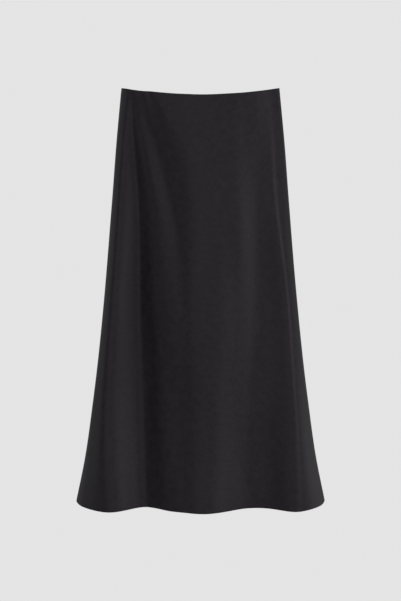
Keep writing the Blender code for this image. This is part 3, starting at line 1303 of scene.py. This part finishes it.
@dataclass(frozen=True)
class Sewing:
    """All the thread inside the skirt: overlocked seams, blind hems and the zip's stitching."""

    finish: ThreadFinish = ThreadFinish()
    path_rows: int = 220
    over_edge: float = 0.0088            # middle of the overlocking from its seam
    blind_start: float = 0.004           # blind stitches keep this far off the overlocking
    zip_end: float = 0.212               # the tapes cover the seam down to here
    tape_line: float = 0.0085            # stitching of the tape from the centre line
    tape_face: float = 0.0028            # inner face of the tape inside the cloth's outer face
    tape_run: tuple[float, float] = (0.006, 0.198)
    tape_rows: int = 60

    def _seam(self, panel: Panel, edge: float) -> Run:
        """Overlocking along one long edge of a panel.

        Args:
            panel: The panel.
            edge: Angle of the edge.

        Returns:
            The run.
        """
        top = self.zip_end if not edge else panel.waist_turn
        drops = np.linspace(top, FORM.length - panel.hem_turn, self.path_rows)
        levels = drops / FORM.length
        inwards = 1 if edge == panel.edges[0] else -1
        angles = FORM.angles_from_edge(panel.half, panel.edge_angle(edge, levels), inwards, levels,
                                       [self.over_edge])[0]
        off = -FORM.body_normal(panel.half, angles, levels)
        points = FORM.point(panel.half, angles, levels, -panel.double)
        beyond = FORM.point(panel.half, angles + inwards, levels, -panel.double)
        middle = len(points) // 2
        return Run(points, off, beyond[middle] - points[middle])

    def _hem(self, panel: Panel, level: float) -> Run:
        """Blind stitches along the turned edge at the waist or the hem.

        Args:
            panel: The panel.
            level: Level of the raw edge.

        Returns:
            The run.
        """
        levels = np.full(self.path_rows, level)
        one, inset = levels[:1], [panel.allowance + self.blind_start]
        start, end = (FORM.angles_from_edge(panel.half, panel.edge_angle(edge, one), way, one,
                                            inset)[0, 0]
                      for edge, way in zip(panel.edges, (1, -1)))
        angles = np.linspace(start, end, self.path_rows)
        off = -FORM.body_normal(panel.half, angles, levels)
        points = FORM.point(panel.half, angles, levels, -panel.double)
        return Run(points, off, np.array((0.0, 0.0, 1.0 if level > 0.5 else -1.0)))

    def _tape(self, side: int) -> Run:
        """Stitching down the middle of one tape.

        Args:
            side: 1 or -1.

        Returns:
            The run.
        """
        levels = np.linspace(*self.tape_run, self.tape_rows) / FORM.length
        angles = side * np.degrees(self.tape_line / FORM.ring("half_width", levels))
        off = -FORM.body_normal(Half.BACK, angles, levels)
        points = FORM.body(Half.BACK, angles, levels) + self.tape_face * off
        return Run(points, off, np.array((1.0, 0.0, 0.0)))

    def build(self) -> None:
        """Sew everything."""
        thread = self.finish.make()
        seams = [self._seam(panel, edge) for panel in PANELS for edge in panel.edges]
        hems = [self._hem(panel, 1 - panel.hem_turn / FORM.length) for panel in PANELS]
        hems += [self._hem(panel, panel.waist_turn / FORM.length) for panel in PANELS]
        tapes = [self._tape(side) for side in (-1, 1)]
        sewn = (
            (OVERLOCK, "overlocking", seams),
            (BLIND, "blind_stitches", hems),
            (LOCK, "tape_stitches", tapes),
        )
        for stitch, name, runs in sewn:
            add_piece(stitch.sew(name, runs, thread), "skirt", "satin")


# ---------------------------------------------------------------- zip
@dataclass(frozen=True)
class Coils:
    """The two closed coils of the zip, interlocked along the centre-back line."""

    depth: float = 0.0046                # middle of the coils inside the outer face of the cloth
    top: float = 0.0118
    bottom: float = 0.2005
    pitch: float = 0.0013
    wire: float = 0.00027
    half_width: float = 0.00062          # of one coil, to the middle of its wire
    half_height: float = 0.00112
    apart: float = 0.00056               # middle of one coil from the centre line
    stagger: float = 0.25                # of the pitch that each coil is shifted, one up, one down
    steps: int = 12                      # faces along a turn and round its wire
    sides: int = 5
    points: int = 40

    def build(self, finish: bpy.types.Material) -> bpy.types.Object:
        """Wind both coils.

        Args:
            finish: Their material.

        Returns:
            The piece.
        """
        tree = GeometryTree("coil_turns")
        pitch, wire, width, height, apart = (tree.named_input(label) for label in (
            "Pitch", "Wire", "Half width", "Half height", "Apart"))
        turns = []
        for side in (-1, 1):
            turn = tree.add("GeometryNodeCurveSpiral", {}, {
                "Resolution": self.steps, "Rotations": 1.0, "Start Radius": 1.0,
                "End Radius": 1.0, "Height": 1.0})
            shift = pitch * (self.stagger * side)
            placed = tree.add("GeometryNodeTransform", {}, {
                "Geometry": turn, "Translation": tree.combine(apart * side, 0.0, shift),
                "Scale": tree.combine(width * side, height, pitch)})
            turns.append(tree.tube(placed, wire, self.sides))
        tree.close(tree.along(tree.path(pitch), tree.join(turns), "Z", "Y"))
        drops = np.linspace(self.top + self.pitch, self.bottom - self.pitch, self.points)
        middle, levels = np.zeros(self.points), drops / FORM.length
        off = -FORM.body_normal(Half.BACK, middle, levels)
        points = FORM.body(Half.BACK, middle, levels) + self.depth * off
        run = Run(points, off, np.array((1.0, 0.0, 0.0)))
        return tree.grow("zip_coils", path_mesh("zip_coils", [run]), {
            "Pitch": self.pitch, "Wire": self.wire, "Half width": self.half_width,
            "Half height": self.half_height, "Apart": self.apart, "Finish": finish})


SAME_POINT = 1e-7                # metres within which a part's points are one
HARD_EDGE = 35.0                 # degrees between faces of metal that make an edge
ROUND_STEPS = 2                  # faces across a plate's rounded edge, less one
UPRIGHT = Matrix.Rotation(math.radians(90), 4, "X")     # stands a flat outline up
Outline = Sequence[tuple[float, float]]


def joined_mesh(name: str, parts: Sequence[bpy.types.Mesh]) -> bpy.types.Mesh:
    """One mesh of several closed ones, each with its faces pointing outwards.

    Args:
        name: The mesh's name.
        parts: The closed meshes.

    Returns:
        The mesh.
    """
    form = bmesh.new()
    for part in parts:
        form.from_mesh(part)
    bmesh.ops.remove_doubles(form, verts=form.verts, dist=SAME_POINT)
    bmesh.ops.recalc_face_normals(form, faces=form.faces)
    mesh = bpy.data.meshes.new(name)
    form.to_mesh(mesh)
    form.free()
    mesh.shade_smooth()
    mesh.set_sharp_from_angle(angle=math.radians(HARD_EDGE))
    return mesh


def plate(outlines: Sequence[Outline], thickness: float, rounding: float,
          place: Matrix) -> bpy.types.Mesh:
    """Flat plate with rounded edges, cut from outlines in its own X and Y.

    Args:
        outlines: Its edge, then its holes.
        thickness: Through the plate, along its Z.
        rounding: Radius of its edges.
        place: Where it goes.

    Returns:
        The mesh.
    """
    curve = bpy.data.curves.new("plate", "CURVE")
    curve.dimensions = "2D"
    curve.fill_mode = "BOTH"
    curve.extrude = thickness / 2 - rounding
    curve.bevel_depth = rounding
    curve.bevel_resolution = ROUND_STEPS
    curve.offset = -rounding
    for outline in outlines:
        line = curve.splines.new("POLY")
        line.use_cyclic_u = True
        line.points.add(len(outline) - 1)
        for point, (x, y) in zip(line.points, outline):
            point.co = (x, y, 0.0, 1.0)
    carrier = bpy.data.objects.new("plate", curve)
    bpy.context.scene.collection.objects.link(carrier)
    evaluated = carrier.evaluated_get(bpy.context.evaluated_depsgraph_get())
    mesh = bpy.data.meshes.new_from_object(evaluated)
    bpy.data.objects.remove(carrier)
    mesh.transform(place)
    mesh.materials.clear()
    return mesh


@dataclass(frozen=True)
class Slider:
    """Slider of the concealed zip: two plates with flanges, a post between, a neck and a ring.

    Its outline is in shares of its half height, and of its half width above and of its lower
    half width below.
    """

    outside: float = 0.0031              # its outer face inside the cloth's outer face
    size: tuple[float, float, float] = (0.0072, 0.0034, 0.0090)
    narrow: float = 0.0054               # width at its lower end
    upper: Outline = ((0, 0.80), (0.35, 0.93), (0.70, 1), (0.93, 0.86), (1, 0.55), (0.93, 0.15))
    lower: Outline = ((1, -0.35), (1, -0.88), (0.86, -1))
    wall: float = 0.0007
    wall_edge: float = 0.0002            # radius of its rounded edges
    slot: float = 0.0007                 # between the flanges, for the tapes
    flange: float = 0.0008
    flange_top: float = 0.1              # of its height over the middle
    flange_edge: float = 0.00015
    post: Outline = ((0, 0.0008), (0.0009, 0.0024), (0.0004, 0.0036), (-0.0004, 0.0036),
                     (-0.0009, 0.0024))  # in metres
    post_edge: float = 0.00005
    neck: tuple[float, float] = (0.0011, 0.0036)
    neck_ends: tuple[float, float] = (0.0001, 0.0003)   # into the plate, and into the ring
    neck_edge: float = 0.00015
    ring_radius: float = 0.0014
    ring_wire: float = 0.00045
    ring_out: float = 0.0010
    ring_steps: int = 32                 # faces round the ring and round its wire
    ring_sides: int = 12

    def _outline(self) -> list[tuple[float, float]]:
        """Shield shape, broad and double-mouthed at the top.

        Returns:
            Points in its own X and Y, anticlockwise.
        """
        tall = self.size[2] / 2
        right = [(x * half_width, y * tall) for half_width, shares in (
            (self.size[0] / 2, self.upper), (self.narrow / 2, self.lower)) for x, y in shares]
        return right + [(-x, y) for x, y in reversed(right) if x > 0]

    def _flange(self, side: int) -> list[tuple[float, float]]:
        """Outline of the rail along the straight part of one side.

        Args:
            side: 1 or -1.

        Returns:
            Points in the same X and Y.
        """
        outer = [(x, y) for x, y in self._outline()
                 if abs(x) > self.narrow / 2 - self.flange_edge and x * side > 0
                 and y < self.size[2] * self.flange_top]
        outer.sort(key=lambda point: -point[1])
        return outer + [(x - side * self.flange, y) for x, y in reversed(outer)]

    def build(self, finish: bpy.types.Material) -> bpy.types.Object:
        """Build the slider.

        Args:
            finish: Its enamel.

        Returns:
            The piece.
        """
        thickness = self.size[1]
        place = FORM.zip_place(PULL_DROP, -self.outside - thickness / 2) @ UPRIGHT
        rail = (thickness - self.slot) / 2
        parts = []
        for side in (-1, 1):
            wall_place = place @ Matrix.Translation((0, 0, side * (thickness - self.wall) / 2))
            rail_place = place @ Matrix.Translation((0, 0, side * (thickness - rail) / 2))
            parts.append(plate([self._outline()], self.wall, self.wall_edge, wall_place))
            parts += [plate([self._flange(hand)], rail, self.flange_edge, rail_place)
                      for hand in (-1, 1)]
        parts.append(plate([self.post], thickness - self.wall, self.post_edge, place))
        parts += [self._neck(), self._ring()]
        return add_object("slider", joined_mesh("slider", parts), finish)

    def _neck(self) -> bpy.types.Mesh:
        """Bar through the notch of the seam, from the outer plate to the ring.

        Returns:
            The mesh.
        """
        wide, tall = (side / 2 for side in self.neck)
        sunk, into_ring = self.neck_ends
        long = self.outside + self.ring_out - self.ring_radius
        place = FORM.zip_place(PULL_DROP, (long + into_ring - sunk) / 2 - self.outside)
        return plate([((wide, tall), (-wide, tall), (-wide, -tall), (wide, -tall))],
                     long + sunk + into_ring, self.neck_edge, place @ UPRIGHT)

    def _ring(self) -> bpy.types.Mesh:
        """Ring that the pull turns in.

        Returns:
            The mesh.
        """
        form = bmesh.new()
        turn = Matrix.Rotation(math.radians(90), 4, "Y")
        place = FORM.zip_place(PULL_DROP, self.ring_out) @ turn
        grid = []
        for step in range(self.ring_steps):
            spin = place @ Matrix.Rotation(2 * math.pi * step / self.ring_steps, 4, "Z")
            angles = (2 * math.pi * k / self.ring_sides for k in range(self.ring_sides))
            grid.append([form.verts.new(spin @ Vector((
                self.ring_radius + self.ring_wire * math.cos(angle), 0.0,
                self.ring_wire * math.sin(angle)))) for angle in angles])
        for here, after in zip(grid, grid[1:] + grid[:1]):
            for k in range(self.ring_sides):
                form.faces.new((here[k - 1], after[k - 1], after[k], here[k]))
        mesh = bpy.data.meshes.new("ring")
        form.to_mesh(mesh)
        form.free()
        return mesh


@dataclass(frozen=True)
class Pull:
    """Flat teardrop tab with rounded edges and a sunk panel, hung on the slider's ring."""

    out: float = 0.0010
    top_width: float = 0.0044
    width: float = 0.0062
    shoulder: float = 0.002              # height of the rounding at the top
    top_pull: tuple[float, float] = (0.9, 0.3)   # how square it is, across and down
    slope: float = 0.004                 # how far the top's width holds
    flare: float = 0.007                 # how far the belly's width holds
    thick: float = 0.0010
    bar: float = 0.0009
    hole: tuple[float, float] = (0.0021, 0.0022)
    hole_round: tuple[float, float] = (0.3, 0.8)   # of its width and height, its lower corners
    rounding: float = 0.00028
    border: float = 0.0009               # width of the rim round the sunk panel
    brow: float = 0.00126                # from the hole to the sunk panel
    tip_width: float = 0.3               # of the width where the panel's lower end is level
    sunk: float = 0.00018
    web_spread: tuple[float, float] = (1.12, 1.02)   # the panel's floor reaches under the rim
    web_edge: float = 0.00002
    round_handle: float = 0.552          # makes a bezier quarter circle
    steps: int = 12

    def _outline(self) -> list[tuple[float, float]]:
        """Teardrop outline, with the pivot at the origin and the tip below.

        Returns:
            Points in its own X and Y.
        """
        top = self.bar / 2
        half_top, half_wide = self.top_width / 2, self.width / 2
        tip = top - PULL_LENGTH
        belly, corner, handle = tip + half_wide, top - self.shoulder, self.round_handle * half_wide
        across, down = self.top_pull
        arcs = (
            ((0.0, top), (half_top * across, top), (half_top, top - self.shoulder * down),
             (half_top, corner)),
            ((half_top, corner), (half_top, corner - self.slope), (half_wide, belly + self.flare),
             (half_wide, belly)),
            ((half_wide, belly), (half_wide, belly - handle), (handle, tip), (0.0, tip)),
        )
        right = []
        for arc in arcs:
            for t in (k / self.steps for k in range(self.steps)):
                shares = ((1 - t)**3, 3 * t * (1 - t)**2, 3 * t * t * (1 - t), t**3)
                right.append(tuple(sum(share * value for share, value in zip(shares, values))
                                   for values in zip(*arc)))
        right.append((0.0, tip))
        return right + [(-x, y) for x, y in reversed(right[1:-1])]

    def _panel(self) -> list[tuple[float, float]]:
        """Outline of the sunk panel, a border inside the teardrop and below the hole.

        Returns:
            Points in the same X and Y.
        """
        top = -self.bar / 2 - self.hole[1] - self.brow
        inner = [(x, y) for x, y in self._outline() if y < top]
        low = min(y for _, y in inner)
        shrunk = []
        for x, y in inner:
            if abs(x) < self.width * self.tip_width:
                y = max(y, low + self.border)
            if y > low + self.border / 2:
                shrunk.append((math.copysign(max(abs(x) - self.border, 0.0), x), y))
        return shrunk

    def build(self, finish: bpy.types.Material) -> bpy.types.Object:
        """Build the tab.

        Args:
            finish: Its enamel.

        Returns:
            The piece.
        """
        place = FORM.zip_place(PULL_DROP, self.out) @ UPRIGHT
        under, (wide, tall), (inwards, low) = -self.bar / 2, self.hole, self.hole_round
        hole = [(-wide / 2, under), (wide / 2, under), (wide / 2, under - tall * low),
                (wide * inwards, under - tall), (-wide * inwards, under - tall),
                (-wide / 2, under - tall * low)]
        rim = plate([self._outline(), hole, self._panel()], self.thick, self.rounding, place)
        web = plate([self._panel()], self.thick - 2 * self.sunk, self.web_edge,
                    place @ Matrix.Diagonal((*self.web_spread, 1.0, 1.0)))
        return add_object("pull_tab", joined_mesh("pull_tab", [rim, web]), finish)


# ---------------------------------------------------------------- studio
@dataclass(frozen=True)
class Softbox:
    """Area light that looks at the skirt."""

    name: str
    azimuth: float                       # degrees round from the camera, positive to its right
    elevation: float                     # degrees up
    size: tuple[float, float]
    power: float
    distance: float = 3.0
    target: tuple[float, float, float] = (0.0, 0.0, -0.42)

    def build(self) -> None:
        """Add the light."""
        light = bpy.data.lights.new(self.name, "AREA")
        light.shape = "RECTANGLE"
        light.size, light.size_y = self.size
        light.energy = self.power
        lamp = bpy.data.objects.new(self.name, light)
        bpy.context.scene.collection.objects.link(lamp)
        turn, lift = math.radians(self.azimuth), math.radians(self.elevation)
        level = math.cos(lift)
        away = Vector((math.sin(turn) * level, -math.cos(turn) * level, math.sin(lift)))
        facing = (-away).to_track_quat("-Z", "Y").to_matrix().to_4x4()
        lamp.matrix_world = Matrix.Translation(Vector(self.target) + self.distance * away) @ facing


@dataclass
class Studio:
    """Plain pale floor and backdrop, soft lights and the camera."""

    image: tuple[int, int] = (401, 601)            # width and height that it is framed for
    pixels_per_metre: float = 496.0                # at the middle of the skirt
    distance: float = 2.2
    height: float = -0.4276
    sensor: float = 36.0
    floor_height: float = -1.0
    floor_sides: int = 96
    dome: float = 14.0
    dome_detail: int = 4
    ambient: float = 0.198
    softboxes: tuple[Softbox, ...] = (
        Softbox("key", 60.0, 10.0, (1.6, 1.4), 10.2),
        Softbox("top", 0.0, 50.0, (1.2, 1.2), 3.8),
        Softbox("fill", -5.0, 10.0, (3.2, 1.2), 5.6),
        Softbox("side", -98.0, 10.0, (1.2, 1.2), 1.5),
        Softbox("back", 180.0, 45.0, (1.6, 1.6), 10.0),
        Softbox("hem_rim", 112.0, 0.0, (0.5, 0.5), 0.35, 1.0, (0.20, 0.0, -0.80)),
    )

    def build(self) -> None:
        """Set up the whole studio."""
        self._camera()
        self._surroundings()
        for softbox in self.softboxes:
            softbox.build()
        world = bpy.data.worlds.new("studio")
        world.use_nodes = True
        air = world.node_tree.nodes["Background"].inputs
        air["Color"].default_value = (1, 1, 1, 1)
        air["Strength"].default_value = self.ambient
        bpy.context.scene.world = world
        bpy.context.scene.view_settings.view_transform = "Standard"

    def _camera(self) -> None:
        """Level camera in front of the skirt, framed as the photograph."""
        data = bpy.data.cameras.new("camera")
        data.sensor_width = self.sensor
        data.lens = self.sensor * self.pixels_per_metre * self.distance / max(self.image)
        camera = bpy.data.objects.new("camera", data)
        bpy.context.scene.collection.objects.link(camera)
        camera.location = (0.0, -self.distance, self.height)
        camera.rotation_euler = (math.radians(90), 0.0, 0.0)
        bpy.context.scene.camera = camera

    def _surroundings(self) -> None:
        """Floor and backdrop, which the lights and the cloth don't see."""
        paper = BackdropFinish().make()
        for name, make in (("studio_floor", self._floor), ("studio_backdrop", self._dome)):
            mesh = bpy.data.meshes.new(name)
            form = bmesh.new()
            make(form)
            form.to_mesh(mesh)
            form.free()
            stage = add_object(name, mesh, paper)
            stage.visible_diffuse = stage.visible_glossy = stage.visible_shadow = False

    def _floor(self, form: bmesh.types.BMesh) -> None:
        """Round floor."""
        bmesh.ops.create_circle(form, cap_ends=True, segments=self.floor_sides, radius=self.dome,
                                matrix=Matrix.Translation((0, 0, self.floor_height)))

    def _dome(self, form: bmesh.types.BMesh) -> None:
        """Sphere round everything, facing inwards."""
        bmesh.ops.create_icosphere(form, subdivisions=self.dome_detail, radius=self.dome)
        bmesh.ops.reverse_faces(form, faces=form.faces)


# ---------------------------------------------------------------- assembly
def carry_over() -> None:
    """Give the solids that stay in sight, the tapes of the zip, their finish."""
    weave = WovenTapeFinish().make()
    for node in ("zip_tape_left", "zip_tape_right"):
        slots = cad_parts[node].data.materials
        slots.clear()
        slots.append(weave)


def main() -> None:
    """Build every piece in order and report it."""
    logging.basicConfig(level=logging.INFO, format="%(name)s %(message)s")
    Studio().build()
    Skirt().build()
    Sewing().build()
    enamel = EnamelFinish().make()
    add_piece(Coils().build(NylonFinish().make()), "skirt", "zip_coil", "zip_coil")
    add_piece(Slider().build(enamel), "skirt", "zip_metal", "zip_slider")
    add_piece(Pull().build(enamel), "pull", "zip_metal", "zip_pull")
    carry_over()


if __name__ == "__main__":
    main()
